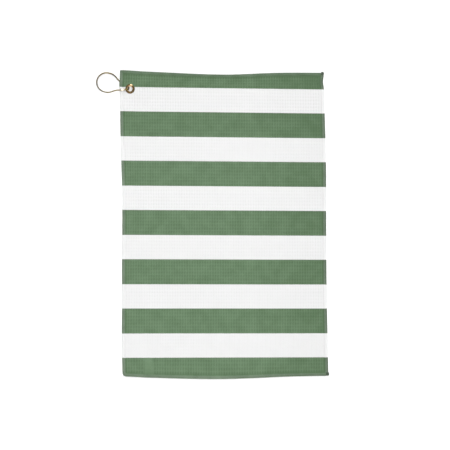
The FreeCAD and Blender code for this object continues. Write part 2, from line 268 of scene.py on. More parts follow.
def cloth_face(front, rng):
    """One face of the cloth as a grid: points, quads, cut places and tones."""
    phases = (0.0, 0.3, 0.7) if front else (0.0, 0.5)
    columns_at = cell_lines(CELLS_ACROSS, CUT_WIDTH, phases)
    rows_at = cell_lines(CELLS_ALONG, CUT_LENGTH, phases)
    u, v = np.meshgrid(columns_at, rows_at)
    edge = edge_distance(u, v)
    u, v = round_corner(u, v)
    x, y = plan(u, v)
    from_hole = np.hypot(x - HOLE[0], y - HOLE[1])
    loose = smooth((edge - HEM_WIDTH + 1) / 3.5) * smooth((from_hole - 11) / 4)
    pressed = from_hole < PRESSED_REACH
    over_label = label_mask(u, v, 1.5)
    centre, width = (0.0, 0.3) if front else (0.5, 0.5)
    up_and_down = ridge_of(u, CUT_WIDTH / CELLS_ACROSS, centre, width)
    from_side_to_side = ridge_of(v, CUT_LENGTH / CELLS_ALONG, centre, width)
    crest = np.maximum(up_and_down, from_side_to_side) + 0.12 * up_and_down * from_side_to_side
    if front:
        free = WELL + (CREST - WELL) * crest * (1 - 0.7 * over_label)
        free = free + rng.normal(0, 0.03, u.shape)
        held = np.where(pressed, HELD_FRONT, PRESSED_FRONT)
    else:
        free = BACK_WELL * (1 - np.minimum(crest, 1.0)) + 0.25 * over_label
        held = np.where(pressed, HELD_BACK, PRESSED_BACK)
    points = lay(u, v, held + (free - held) * loose).reshape(-1, 3)
    index = np.arange(u.size).reshape(u.shape)
    corners = [index[:-1, :-1], index[:-1, 1:], index[1:, 1:], index[1:, :-1]]
    quads = np.stack(corners, axis=-1).reshape(-1, 4)
    if not front:
        quads = quads[:, ::-1]
    cut = np.stack([u, v, np.full_like(u, 1.0 if front else 0.0)], axis=-1).reshape(-1, 3)
    # Painted light and shade: crests lighter than wells, and painted shade along the groove beside the edge
    # thread
    lit = 0.15 + 0.85 * np.maximum(up_and_down, 0.6 * from_side_to_side)
    tone = lit * loose * (1 - over_label) + 0.5 * (1 - loose) * pressed
    tone = tone + over_label * 1.05 - GROOVE_SHADE * fade(np.abs(edge - GROOVE_INSET), GROOVE_SPREAD)
    return points, quads, cut, tone.ravel()


def open_hole_and_close_edges(mesh):
    """Open the hole through both faces, and join the faces round the hole and the edge."""
    bm = bmesh.new()
    bm.from_mesh(mesh)
    hole = Vector((HOLE[0] * MM, HOLE[1] * MM))
    inside = [vert for vert in bm.verts if (vert.co.xy - hole).length < CLEARED_RADIUS * MM]
    bmesh.ops.delete(bm, geom=inside, context="VERTS")
    rim = {vert for edge in bm.edges if edge.is_boundary for vert in edge.verts
           if (vert.co.xy - hole).length < RIM_SEARCH * MM}
    for vert in rim:
        vert.co.xy = hole + (vert.co.xy - hole).normalized() * CLOTH_HOLE_RADIUS * MM
    border = [edge for edge in bm.edges if edge.is_boundary]
    around_hole = [edge for edge in border if edge.verts[0] in rim]
    around_edge = [edge for edge in border if edge.verts[0] not in rim]
    for loops in (around_hole, around_edge):
        made = bmesh.ops.bridge_loops(bm, edges=loops)
        for face in made["faces"]:
            face.smooth = True
    bmesh.ops.recalc_face_normals(bm, faces=bm.faces)
    bm.to_mesh(mesh)
    bm.free()


def make_cloth(material):
    rng = np.random.default_rng(SEED)
    front, back = cloth_face(True, rng), cloth_face(False, rng)
    points, cut, tone = (np.concatenate([front[part], back[part]]) for part in (0, 2, 3))
    quads = np.concatenate([front[1], back[1] + len(front[0])]).tolist()
    piece = new_piece("striped_cloth", points, quads, material, None, cut, tone)
    open_hole_and_close_edges(piece.data)
    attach(piece, "towel")
    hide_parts("towel_cloth")
    return piece


# ---------------------------------------------------------------- the overlocked edge

# Each side of the cut: its start, the way along it and the way in, and its length
SIDES = {
    "bottom": ((0, 0), (1, 0), (0, 1), CUT_WIDTH),
    "right": ((CUT_WIDTH, 0), (0, 1), (-1, 0), CUT_LENGTH),
    "top": ((CUT_WIDTH, CUT_LENGTH), (-1, 0), (0, -1), CUT_WIDTH),
    "left": ((0, CUT_LENGTH), (0, -1), (1, 0), CUT_LENGTH),
}
# The thread's section: distance in from the edge, height above the cloth's underside, light (a greyer thread
# with a painted highlight on its crest) and dark (painted shade, mostly on the rolled outer edge)
HEM_SECTION = np.array([
    (6.5, 1.35, 0.0, 0.4), (6.1, 1.8, 0.0, 0.25), (5.3, 2.05, 0.5, 0.0), (4.3, 2.3, 1.0, 0.0),
    (3.3, 2.3, 1.0, 0.1), (2.4, 2.15, 0.75, 0.4), (1.5, 1.95, 0.5, 0.8), (0.7, 1.65, 0.4, 1.0),
    (0.2, 1.25, 0.3, 1.0), (0.1, 0.75, 0.2, 0.8), (0.5, 0.3, 0.2, 0.4), (1.6, 0.06, 0.2, 0.0),
    (4.2, 0.03, 0.2, 0.0), (6.0, 0.05, 0.2, 0.0), (6.5, 0.4, 0.0, 0.2)])
# How strong a lighter line is painted along the needle thread on each side: a greyer thread with a painted
# highlight
LIGHT_LINE = {"bottom": 0.65, "right": 0.85, "top": 0.4, "left": 0.95}
# How strongly painted shade darkens the rolled outer edge on each side
SHADED_EDGE = {"bottom": 0.2, "right": 0.65, "top": 0.45, "left": 0.12}
RIB_PITCH, RIB_STEP, RIB_HEIGHT, RIB_SLANT = 1.45, 0.44, 0.16, 0.35
STITCH_PITCH, STITCH_LENGTH, STITCH_INSET, STITCH_RADIUS = 2.9, 2.3, 4.7, 0.27


def on_side(side, part, inset):
    """Places in the cut along one side, at an inset, mitred and rounded at the corners."""
    origin, ahead, inward, length = SIDES[side]
    run = inset + (length - 2 * inset) * part
    across = origin[0] + ahead[0] * run + inward[0] * inset
    along = origin[1] + ahead[1] * run + inward[1] * inset
    return round_corner(across, along)


def edge_shade(side, part):
    """Painted shade along the middle of two sides: darker at the top, lighter at the bottom."""
    if side == "top":
        return -0.35 * hump(part, 0.62, 0.2, 0.2)
    if side == "bottom":
        return 0.3 * hump(part, 0.38, 0.2, 0.2)
    return 0.0 * part


def hem_band(side):
    """The looper threads: a ribbed channel round the cloth's edge."""
    length = SIDES[side][3]
    rows = int(length / RIB_STEP)
    part = np.linspace(0, 1, rows + 1)[:, None]
    inset, height, light, dark = HEM_SECTION.T
    light, dark = light * LIGHT_LINE[side], dark * SHADED_EDGE[side]
    out = HEM_SECTION[:, :2] - np.array([3.2, 1.15])
    out = out / np.linalg.norm(out, axis=1)[:, None]
    slant = np.where(height > 1.0, inset, -inset) * RIB_SLANT
    rib = 0.5 + 0.5 * np.sin(2 * math.pi * (part * length + slant) / RIB_PITCH)
    worn = 1 + 0.25 * np.sin(part * length / 7.3 + 1.1) * np.sin(part * length / 2.9)
    push = RIB_HEIGHT * rib * worn * smooth(part * length / 3) * smooth((1 - part) * length / 3)
    u, v = on_side(side, part, inset + push * out[:, 0])
    points = lay(u, v, np.maximum(height + push * out[:, 1], 0.02))
    shown = smooth((height - 0.04) / 0.3) * np.ones_like(u)
    cut = np.stack([u, v, shown], axis=-1)
    index = np.arange(u.size).reshape(u.shape)
    around = np.roll(index, -1, axis=1)
    quads = np.stack([index[:-1], around[:-1], around[1:], index[1:]], axis=-1).reshape(-1, 4).tolist()
    caps = [index[0].tolist(), index[-1][::-1].tolist()]
    # Painted light and shade: a highlight on the thread's crest and on each rib, painted shade on the rolled
    # outer edge
    shade = 0.4 + 0.5 * light - 0.9 * dark + 0.3 * (rib - 0.5) + edge_shade(side, part)
    grey = np.broadcast_to(0.6 * light + 0.55 * dark, u.shape)
    return points.reshape(-1, 3), quads + caps, cut.reshape(-1, 3), shade.ravel(), grey.ravel()


def capsule(sides, rings):
    """A unit lozenge along its first axis: points and faces."""
    angles = np.linspace(0, 2 * math.pi, sides, endpoint=False)
    places = np.linspace(-1, 1, rings)
    girth = np.sqrt(np.maximum(1 - places ** 2, 0)) * 0.8 + 0.2 * (np.abs(places) < 0.99)
    ring = np.stack([np.cos(angles), np.sin(angles)], axis=-1)
    points = [(place, *(wide * ring[side])) for place, wide in zip(places[1:-1], girth[1:-1])
              for side in range(sides)]
    points += [(-1, 0, 0), (1, 0, 0)]
    faces = []
    last = rings - 3
    for row in range(last):
        for side in range(sides):
            after = (side + 1) % sides
            faces.append((row * sides + side, row * sides + after, (row + 1) * sides + after,
                          (row + 1) * sides + side))
    low, high = (rings - 2) * sides, (rings - 2) * sides + 1
    for side in range(sides):
        after = (side + 1) % sides
        faces.append((low, side, after)[::-1])
        faces.append((high, last * sides + side, last * sides + after))
    return np.asarray(points), faces


def needle_stitches(side):
    """The needle thread: a row of short stitches along the crest of the edge thread."""
    length = SIDES[side][3]
    shape, faces = capsule(6, 6)
    count = int(length / STITCH_PITCH)
    points, all_faces, cut = [], [], []
    for number in range(2, count - 1):
        base = len(points) * len(shape)
        inset = STITCH_INSET + shape[:, 1] * STITCH_RADIUS + shape[:, 0] * 0.12
        u, v = on_side(side, (number * STITCH_PITCH + shape[:, 0] * STITCH_LENGTH / 2) / length, inset)
        points.append(lay(u, v, 2.25 + shape[:, 2] * STITCH_RADIUS))
        cut.append(np.column_stack([u, v, np.ones(len(shape))]))
        all_faces += [tuple(corner + base for corner in face) for face in faces]
    total = len(points) * len(shape)
    light = LIGHT_LINE[side]
    # A painted highlight along the stitches, with the thread greyed as much
    tone, grey = np.full(total, 0.4 + 0.5 * light), np.full(total, 0.7 * light)
    return np.concatenate(points), all_faces, np.concatenate(cut), tone, grey


def make_hem(material):
    made = []
    for side in SIDES:
        band, stitches = hem_band(side), needle_stitches(side)
        start = len(band[0])
        faces = band[1] + [tuple(corner + start for corner in face) for face in stitches[1]]
        points, cut, tone, grey = (np.concatenate([band[part], stitches[part]]) for part in (0, 2, 3, 4))
        piece = new_piece("edge_thread_" + side, points, faces, material, "towel",
                          cut, tone, grey)
        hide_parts("overlock_" + side)
        made.append(piece)
    return made


# ---------------------------------------------------------------- round wires and threads

def rounded_path(points, radii, step):
    """Straight runs through the points, joined by tangent arcs, sampled at about the step."""
    points = [np.asarray(point, float) for point in points]
    samples = [points[0]]
    here = points[0]

    def run_to(target):
        count = max(int(np.linalg.norm(target - samples[-1]) / step), 1)
        begin = samples[-1]
        for number in range(1, count + 1):
            samples.append(begin + (target - begin) * number / count)

    for before, corner, after, radius in zip(points, points[1:], points[2:], radii):
        back = (before - corner) / np.linalg.norm(before - corner)
        ahead = (after - corner) / np.linalg.norm(after - corner)
        half = (math.pi - math.acos(np.clip(back @ ahead, -1, 1))) / 2
        setback = radius * math.tan(half)
        start = corner + back * setback
        centre = corner + (back + ahead) / np.linalg.norm(back + ahead) * radius / math.cos(half)
        if np.linalg.norm(start - here) > 1e-6:
            run_to(start)
        spoke = start - centre
        cross = -back * radius
        count = max(int(radius * 2 * half / step), 6)
        for number in range(1, count + 1):
            turn = 2 * half * number / count
            samples.append(centre + spoke * math.cos(turn) + cross * math.sin(turn))
        here = samples[-1]
    run_to(points[-1])
    return np.asarray(samples)


def tube(path, radii, sides):
    """A closed round tube along a path, with a radius for each point."""
    path = np.asarray(path, float)
    radii = np.broadcast_to(radii, len(path))
    tangents = np.gradient(path, axis=0)
    tangents = tangents / np.linalg.norm(tangents, axis=1)[:, None]
    side = np.cross(tangents[0], (0.3, 0.1, 1.0))
    angles = np.linspace(0, 2 * math.pi, sides, endpoint=False)
    points = []
    for place, tangent, radius in zip(path, tangents, radii):
        side = side - tangent * (side @ tangent)
        side = side / np.linalg.norm(side)
        up = np.cross(tangent, side)
        points.append(place + radius * (np.cos(angles)[:, None] * side + np.sin(angles)[:, None] * up))
    index = np.arange(len(path) * sides).reshape(len(path), sides)
    around = np.roll(index, -1, axis=1)
    quads = np.stack([index[:-1], around[:-1], around[1:], index[1:]], axis=-1).reshape(-1, 4).tolist()
    return np.concatenate(points), quads + [index[0][::-1].tolist(), index[-1].tolist()]


def join(parts):
    """Several (points, faces) as one."""
    points, faces, start = [], [], 0
    for some, these in parts:
        points.append(some)
        faces += [tuple(corner + start for corner in face) for face in these]
        start += len(some)
    return np.concatenate(points), faces


def dome_end(path, radius, at_start):
    """Extend a path and its radii by a rounded end."""
    order = path[::-1] if at_start else path
    ahead = order[-1] - order[-2]
    ahead = ahead / np.linalg.norm(ahead)
    turns = np.linspace(0, math.pi / 2, 6)[1:]
    extra = order[-1] + np.sin(turns)[:, None] * radius * ahead
    wide = np.concatenate([np.full(len(path), radius), np.maximum(np.cos(turns), 0.03) * radius])
    order = np.concatenate([order, extra])
    return (order[::-1], wide[::-1]) if at_start else (order, wide)


# ---------------------------------------------------------------- thread tails and care label

def make_tail(name, across, along, turn, length, shade, material):
    """A cut end of the edge thread: four strands wound in a knot and splayed at the tip."""
    count = 40
    run = np.linspace(0, 1, count)
    parts = []
    for strand in range(4):
        phase = strand * math.pi / 2 + run * 9.0
        coil = 1.4 + 0.8 * np.sin(run * math.pi) + 0.2 * run ** 4
        forward = (run - 0.5) * length + 0.35 * np.sin(phase * 1.3)
        sideways = coil * np.cos(phase)
        u = across + forward * math.cos(turn) - sideways * math.sin(turn)
        v = along + forward * math.sin(turn) + sideways * math.cos(turn)
        height = 2.1 + 0.9 * np.sin(phase) * coil / 1.7
        inside_u, inside_v = np.clip(u, 0, CUT_WIDTH), np.clip(v, 0, CUT_LENGTH)
        place = lay(inside_u, inside_v, np.maximum(height, 0.75))
        beyond = np.stack([u - inside_u, v - inside_v, np.zeros(count)], axis=-1)
        wide = 0.95 * np.sqrt(np.clip(1.04 - (2 * run - 1) ** 8, 0.05, 1))
        parts.append(tube(place + beyond, wide, 8))
    points, faces = join(parts)
    cut = np.tile([min(across, CUT_WIDTH), min(along, CUT_LENGTH), 1.0], (len(points), 1))
    piece = new_piece("loose_thread_" + name, points, faces, material, "towel", cut,
                      np.full(len(points), shade), np.full(len(points), 0.75))
    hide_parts("thread_tail_" + name)
    return piece


def make_label(material):
    """A folded satin tape: two layers with the fold at its free end."""
    left, right, low, high = LABEL
    half, gap, fold_length, clearance = 0.11, 0.26, 0.3, 0.06
    run = np.linspace(0, 1, 22)
    flat_end = high - fold_length
    top = [(low + (flat_end - low) * part, clearance + half + gap) for part in run]
    fold = [(flat_end + fold_length * math.sin(turn),
             clearance + half + gap / 2 + gap / 2 * math.cos(turn))
            for turn in np.linspace(0, math.pi, 8)[1:-1]]
    bottom = [(low + (flat_end - low) * part, clearance + half) for part in run[::-1]]
    line = np.asarray(top + fold + bottom)
    ahead = np.gradient(line, axis=0)
    ahead = ahead / np.linalg.norm(ahead, axis=1)[:, None]
    normal = np.stack([-ahead[:, 1], ahead[:, 0]], axis=-1)
    section = np.concatenate([line + normal * half, (line - normal * half)[::-1]])
    wide = np.linspace(left, right, 25)
    along = np.broadcast_to(section[None, :, 0], (len(wide), len(section)))
    across = np.broadcast_to(wide[:, None], along.shape)
    height = np.broadcast_to(section[None, :, 1], along.shape)
    x, y = plan(across, along)
    points = np.stack([x, y, np.maximum(height, 0.04)], axis=-1).reshape(-1, 3)
    index = np.arange(len(points)).reshape(along.shape)
    around = np.roll(index, -1, axis=1)
    quads = np.stack([index[:-1], around[:-1], around[1:], index[1:]], axis=-1).reshape(-1, 4).tolist()
    caps = []
    for row, flip in ((index[0], False), (index[-1], True)):
        for number in range(len(line) - 1):
            corner = [row[number], row[number + 1], row[-2 - number], row[-1 - number]]
            caps.append(corner[::-1] if flip else corner)
    piece = new_piece("care_tape", points, quads + caps, material, "towel")
    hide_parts("care_label")


# ---------------------------------------------------------------- the grommet

# A painted highlight on the flange's rim: its bearing, how far it spreads, and from what radius
HIGHLIGHT_PLACE, HIGHLIGHT_SPREAD, HIGHLIGHT_RADIUS = math.radians(72), math.radians(17), 7.9
# A painted shadow in the throat: its bearing, how far it spreads, and up to what radius
SHADOW_PLACE, SHADOW_SPREAD, SHADOW_RADIUS = math.radians(-52), math.radians(70), 6.9


def lathe(name, profile, material, node, patches=0.0, sides=96):
    """Turn a closed outline of (radius, height, tone) about the hole's axis.

    The painted highlight and the painted shadow go on it as strongly as patches says.
    """
    outline = np.asarray(profile, float)
    angles = np.linspace(-math.pi, math.pi, sides, endpoint=False) + SHADOW_PLACE
    x = HOLE[0] + outline[None, :, 0] * np.cos(angles)[:, None]
    y = HOLE[1] + outline[None, :, 0] * np.sin(angles)[:, None]
    z = np.broadcast_to(outline[None, :, 1], x.shape)
    index = np.arange(x.size).reshape(x.shape)
    ahead, around = np.roll(index, -1, axis=0), np.roll(index, -1, axis=1)
    both = np.roll(ahead, -1, axis=1)
    quads = np.stack([index, around, both, ahead], axis=-1).reshape(-1, 4).tolist()
    radius = outline[None, :, 0]
    # A painted highlight on the rim and a painted shadow in the throat
    bright = hump(angles, HIGHLIGHT_PLACE, HIGHLIGHT_SPREAD, HIGHLIGHT_SPREAD)[:, None] * (radius > HIGHLIGHT_RADIUS)
    dark = hump(angles, SHADOW_PLACE, SHADOW_SPREAD, SHADOW_SPREAD)[:, None] * (radius < SHADOW_RADIUS)
    tone = outline[None, :, 2] + patches * (bright - 3.0 * dark)
    points = np.stack([x, y, z], axis=-1).reshape(-1, 3)
    piece = new_piece(name, points, quads, material, "towel", tone=tone.ravel())
    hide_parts(node)


def make_grommet(material):
    """The eyelet with its rolled front flange, and the washer that its barrel is set over."""
    rim, bore = FLANGE_RADIUS, BORE_RADIUS
    front = LIFT + 1.8
    # Tone along the outline: low on the crown, patina with painted shade, and rising down the throat towards
    # the bore
    crown = [(rim - 0.05 - 2.0 * (1 - math.cos(turn)), front + 0.2 + 0.75 * math.sin(turn), 0.0)
             for turn in np.linspace(0, math.pi / 2, 11)]
    throat = [(bore + 2.0 * (1 - math.sin(turn)), front - 0.95 + 1.9 * math.cos(turn), 0.1 + 1.8 * turn)
              for turn in np.linspace(0, math.pi / 2, 11)]
    lip = [(bore, 3.3, 1.0), (bore + 0.1, 3.05, 0.9), (bore + 0.4, 2.93, 0.7), (bore + 0.9, 2.9, 0.7),
           (bore + 1.2, 2.97, 0.5), (bore + 1.15, 3.08, 0.2)]
    inner = [(bore + 0.5, 3.3, 0.0), (bore + 0.5, front - 0.05, 0.0), (rim - 0.6, front - 0.05, 0.0),
             (rim - 0.05, front + 0.02, 0.0)]
    lathe("eyelet", crown + throat + lip + inner, material, "grommet_eyelet", patches=1.0)
    washer = [(bore + 0.52, 3.4, 0.2), (bore + 0.52, 3.2, 0.2), (bore + 1.3, 2.98, 0.4),
              (rim - 0.3, 2.95, 0.9), (rim - 0.08, 3.0, 0.8), (rim, 3.12, 0.5), (rim, 3.28, 0.3),
              (rim - 0.12, 3.4, 0.0)]
    lathe("washer", washer, material, "grommet_washer")


# ---------------------------------------------------------------- the clip

def from_clip(points):
    """Clip measures, along its length from the hole and across, to the towel's frame."""
    points = np.asarray(points, float)
    cos, sin = math.cos(HEADING), math.sin(HEADING)
    x = HOLE[0] + points[:, 0] * cos - points[:, 1] * sin
    y = HOLE[1] + points[:, 0] * sin + points[:, 1] * cos
    return np.stack([x, y, points[:, 2]], axis=-1)


def arm_points(side, height):
    """One arm from the bulb's far end to the neck, as in the CAD: -1 at the back, +1 in front."""
    rise = (FRONT_HEIGHT - BACK_HEIGHT) / 2
    half = math.sqrt(BULB_RADIUS ** 2 - rise ** 2)
    shoulder = NECK_REACH + (half - NECK_HALF) / math.tan(LEG_ANGLE)
    far = BULB_REACH + BULB_RADIUS
    return [(far, 0, BACK_HEIGHT + rise), (far, side * half, height), (shoulder, side * half, height),
            (NECK_REACH, side * NECK_HALF, height)]


def split_at(path, reach):
    """The path up to where it first comes within a reach of the hole, and the rest."""
    place = next(number for number, point in enumerate(path) if point[0] < reach)
    before, after = path[place - 1], path[place]
    part = (before[0] - reach) / (before[0] - after[0])
    cut = before + (after - before) * part
    return np.vstack([path[:place], cut]), np.vstack([cut, path[place:]])


def catch_section(room, wall, floor):
    """The channel's section: open on the side towards the clip's long axis."""
    back = room + wall
    top = room + floor
    outer, inner = 0.9, 0.5
    corners = [(-room, -top), (back - outer, -top), (back, -top + outer), (back, top - outer),
               (back - outer, top), (-room, top), (-room, room), (room - inner, room),
               (room, room - inner), (room, -room + inner), (room - inner, -room), (-room, -room)]
    return np.asarray(corners)


def ring_faces(rings, sides):
    """The faces of a tube of rings with the same number of sides, with a face at each end."""
    faces = []
    for row in range(rings - 1):
        here, ahead = row * sides, (row + 1) * sides
        for side in range(sides):
            after = (side + 1) % sides
            faces.append([here + side, here + after, ahead + after, ahead + side])
    faces.append(list(range(sides))[::-1])
    faces.append(list(range((rings - 1) * sides, rings * sides)))
    return faces


# The catch's cap: place along it, half width, half height and shift aside of each ring
CAP_RINGS = ((5.75, 1.9, 2.0, 0.45), (6.0, 1.95, 2.05, 0.45), (7.2, 1.8, 1.9, 0.5),
             (8.1, 1.45, 1.5, 0.6), (9.0, 1.25, 1.25, 0.75))
# Its number of sides, and the power that squares its rings: 1 is an ellipse, 0 a box
CAP_SIDES, CAP_POWER = 20, 0.7


def make_catch():
    """The catch in clip measures: a folded channel, and the cap where it is crimped to the arm."""
    over_eye = np.array([EYE_REACH, EYE_HALF, FRONT_HEIGHT])
    tip = np.array([TIP_REACH, TIP_HALF, FRONT_HEIGHT])
    along = (tip - over_eye) / np.linalg.norm(tip - over_eye)
    start = over_eye + along * (CATCH_REACH - EYE_REACH)
    aside = np.array([-along[1], along[0], 0])
    room = WIRE_RADIUS + 0.25

    def place(run, section):
        return start + run * along + section[:, :1] * aside + section[:, 1:] * np.array([[0, 0, 1.0]])

    channel = catch_section(room, 0.9, 0.6)
    rings = []
    for run, scale in ((0, 0.93), (0.15, 1.0), (CATCH_LENGTH - CATCH_CAP + 0.3, 1.0)):
        middle = np.array([0.45, 0])
        rings.append(place(run, middle + (channel - middle) * scale))
    folded = (np.concatenate(rings), ring_faces(len(rings), len(channel)))
    turns = np.linspace(0, 2 * math.pi, CAP_SIDES, endpoint=False)
    sections = []
    for run, wide, tall, shift in CAP_RINGS:
        ring = np.stack([shift + wide * np.sign(np.cos(turns)) * np.abs(np.cos(turns)) ** CAP_POWER,
                         tall * np.sign(np.sin(turns)) * np.abs(np.sin(turns)) ** CAP_POWER], axis=-1)
        sections.append(place(run, ring))
    cap = (np.concatenate(sections), ring_faces(len(sections), CAP_SIDES))
    cap_middle = start + (CATCH_LENGTH - CATCH_CAP / 2) * along + 0.6 * aside
    return [folded, cap], cap_middle


def wire_tone(points):
    """How bright the wire is painted, in clip measures: painted shade darkens a stretch of each arm."""
    reach, aside = points[:, 0], points[:, 1]
    on_front_arm = smooth((aside + 4) / 16) * smooth((reach - 31) / 8)
    on_back_arm = smooth((-aside - 8) / 8) * smooth((54 - reach) / 12) * smooth((reach - 27) / 4)
    return 1 - 0.5 * (on_front_arm + on_back_arm)


def make_clip(material, catch_material):
    """The catch, and the wire in three lengths: the bulb, the pin and the catch side."""
    low_eye = (EYE_REACH, -EYE_HALF, BACK_HEIGHT)
    high_eye = (EYE_REACH, EYE_HALF, FRONT_HEIGHT)
    tip = (TIP_REACH, TIP_HALF, FRONT_HEIGHT)
    radii = [BULB_RADIUS, BULB_RADIUS, NECK_RADIUS, EYE_RADIUS, EYE_RADIUS]
    catch, cap_middle = make_catch()
    back = rounded_path(arm_points(-1, BACK_HEIGHT) + [low_eye, high_eye, tip], radii, WIRE_STEP)
    front = rounded_path(arm_points(1, FRONT_HEIGHT) + [cap_middle], radii[:3], WIRE_STEP)
    split = NECK_REACH + 6
    back_bulb, pin = split_at(back, split)
    front_bulb, leg = split_at(front, split)
    bulb = np.concatenate([back_bulb[::-1], front_bulb[1:]])
    points, faces = tube(bulb, WIRE_RADIUS, WIRE_SIDES)
    piece = new_piece("clip_bulb_wire", from_clip(points), faces, material, None,
                      tone=wire_tone(points))
    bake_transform(piece)
    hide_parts("clip_wire", "clip_catch_arm")
    pin, wide = dome_end(pin, WIRE_RADIUS, False)
    points, faces = tube(pin, wide, WIRE_SIDES)
    new_piece("clip_pin_wire", from_clip(points), faces, material, "clip",
              tone=wire_tone(points))
    points, faces = tube(leg, WIRE_RADIUS, WIRE_SIDES)
    new_piece("clip_catch_wire", from_clip(points), faces, material, "catch_arm",
              tone=wire_tone(points))
    points, faces = join(catch)
    new_piece("clip_catch", from_clip(points), faces, catch_material, "catch_arm",
              tone=np.ones(len(points)))


# ---------------------------------------------------------------- materials

def node_of(tree, kind, **settings):
    node = tree.nodes.new(kind)
    for key, value in settings.items():
        if key in node.inputs:
            node.inputs[key].default_value = value
        else:
            setattr(node, key, value)
    return node


def new_material(name, roughness, **sockets):
    material = bpy.data.materials.new(name)
    material.use_nodes = True
    tree = material.node_tree
    shader = tree.nodes["Principled BSDF"]
    shader.inputs["Roughness"].default_value = roughness
    for key, value in sockets.items():
        shader.inputs[key.replace("_", " ")].default_value = value
    return material, tree, shader


def maths(tree, operation, first, second=None, clamp=False):
    node = tree.nodes.new("ShaderNodeMath")
    node.operation = operation
    node.use_clamp = clamp
    for socket, value in zip(node.inputs, (first, second)):
        if value is None:
            continue
        if isinstance(value, (int, float)):
            socket.default_value = value
        else:
            tree.links.new(value, socket)
    return node.outputs[0]


def blend_colour(tree, part, first, second):
    node = tree.nodes.new("ShaderNodeMix")
    node.data_type = "RGBA"
    for socket, value in ((node.inputs[0], part), (node.inputs[6], first), (node.inputs[7], second)):
        if isinstance(value, (int, float)):
            socket.default_value = value
        elif isinstance(value, tuple):
            socket.default_value = (*value, 1.0)
        else:
            tree.links.new(value, socket)
    return node.outputs[2]


def noise(tree, vector, scale, detail=2.0):
    node = node_of(tree, "ShaderNodeTexNoise", Scale=scale, Detail=detail)
    tree.links.new(vector, node.inputs["Vector"])
    return node.outputs["Fac"]


# The darkest and lightest of each colour that the shade blends between: painted light and shade from the
# tone, with blotches and specks
GREEN_DARK, GREEN_LIGHT = (0.090, 0.152, 0.080), (0.176, 0.272, 0.164)
GREY_DARK, GREY_LIGHT = (0.066, 0.078, 0.064), (0.27, 0.31, 0.26)
WHITE_DARK, WHITE_LIGHT = (0.775, 0.775, 0.775), (0.805, 0.805, 0.805)
# The edge thread's white, and the darker white that painted shade fades the whites towards
WHITE_THREAD, WHITE_SHADED = (0.825, 0.825, 0.825), (0.58, 0.58, 0.58)
BACK_WHITE = (0.80, 0.80, 0.79)


def ramp(tree, value, start, end, low, high):
    """A smooth change from low to high as the value goes from start to end."""
    node = tree.nodes.new("ShaderNodeMapRange")
    node.interpolation_type = "SMOOTHSTEP"
    tree.links.new(value, node.inputs["Value"])
    for socket, setting in zip(("From Min", "From Max", "To Min", "To Max"), (start, end, low, high)):
        node.inputs[socket].default_value = setting
    return node.outputs["Result"]


def printed_fabric(name, roughness, thread_scale, bump_height):
    """Fabric whose print follows the cut: stripes on the front, plain with a faint ghost behind.

    The front has painted shade, a little darker towards its right side and its top.
    """
    material, tree, shader = new_material(name, roughness, Sheen_Weight=0.12, Sheen_Roughness=0.5,
                                          Specular_IOR_Level=0.2)
    cut, tone, grey = (node_of(tree, "ShaderNodeAttribute", attribute_name=which)
                       for which in ("cut", "tone", "grey"))
    parts = tree.nodes.new("ShaderNodeSeparateXYZ")
    tree.links.new(cut.outputs["Vector"], parts.inputs[0])
    across, along, shown = parts.outputs
    flat = tree.nodes.new("ShaderNodeCombineXYZ")
    tree.links.new(across, flat.inputs[0])
    tree.links.new(along, flat.inputs[1])
    wobble = ramp(tree, noise(tree, flat.outputs[0], 0.9), 0.2, 0.8, -0.2, 0.2)
    down = maths(tree, "SUBTRACT", CUT_LENGTH - FIRST_STRIPE, along)
    turns = maths(tree, "MULTIPLY", maths(tree, "ADD", down, wobble), math.pi / STRIPE)
    wave = maths(tree, "SINE", turns)
    green = ramp(tree, wave, 0.045, 0.005, 0.0, 1.0)
    blotch = ramp(tree, noise(tree, flat.outputs[0], 0.045, 3.0), 0.25, 0.75, -0.16, 0.16)
    fibre = noise(tree, flat.outputs[0], 2.6, 3.0)
    speck = ramp(tree, fibre, 0.2, 0.8, -0.3, 0.3)
    shade = maths(tree, "MULTIPLY_ADD", tone.outputs["Fac"], 0.4)
    shade.node.inputs[2].default_value = 0.28
    # Painted shade: darker towards the right and the top, less so on the greyed edge thread
    to_right = ramp(tree, across, 240, 400, 0.0, -0.26)
    to_top = ramp(tree, along, 380, 560, 0.0, -0.14)
    painted_falloff = maths(tree, "ADD", to_right, to_top)
    painted_falloff = maths(tree, "MULTIPLY", painted_falloff, maths(tree, "SUBTRACT", 1.0, grey.outputs["Fac"]))
    for part in (blotch, speck, painted_falloff):
        shade = maths(tree, "ADD", shade, part)
    shade = maths(tree, "MAXIMUM", shade, 0.0, clamp=True)
    green_colour = blend_colour(tree, shade, GREEN_DARK, GREEN_LIGHT)
    greyed = blend_colour(tree, shade, GREY_DARK, GREY_LIGHT)
    green_colour = blend_colour(tree, grey.outputs["Fac"], green_colour, greyed)
    white_colour = blend_colour(tree, shade, WHITE_DARK, WHITE_LIGHT)
    white_colour = blend_colour(tree, maths(tree, "MULTIPLY", painted_falloff, -0.33), white_colour, WHITE_SHADED)
    white_colour = blend_colour(tree, grey.outputs["Fac"], white_colour, WHITE_THREAD)
    front = blend_colour(tree, green, white_colour, green_colour)
    ghost = maths(tree, "MULTIPLY", green, 0.12)
    back = blend_colour(tree, ghost, BACK_WHITE, GREEN_LIGHT)
    tree.links.new(blend_colour(tree, shown, back, front), shader.inputs["Base Color"])
    threads = maths(tree, "MULTIPLY", maths(tree, "SINE", maths(tree, "MULTIPLY", across, thread_scale)),
                    maths(tree, "SINE", maths(tree, "MULTIPLY", along, thread_scale)))
    fuzz = maths(tree, "ADD", maths(tree, "MULTIPLY", threads, 0.35), fibre)
    bump = node_of(tree, "ShaderNodeBump", Strength=0.6, Distance=bump_height * MM)
    tree.links.new(fuzz, bump.inputs["Height"])
    tree.links.new(bump.outputs[0], shader.inputs["Normal"])
    return material


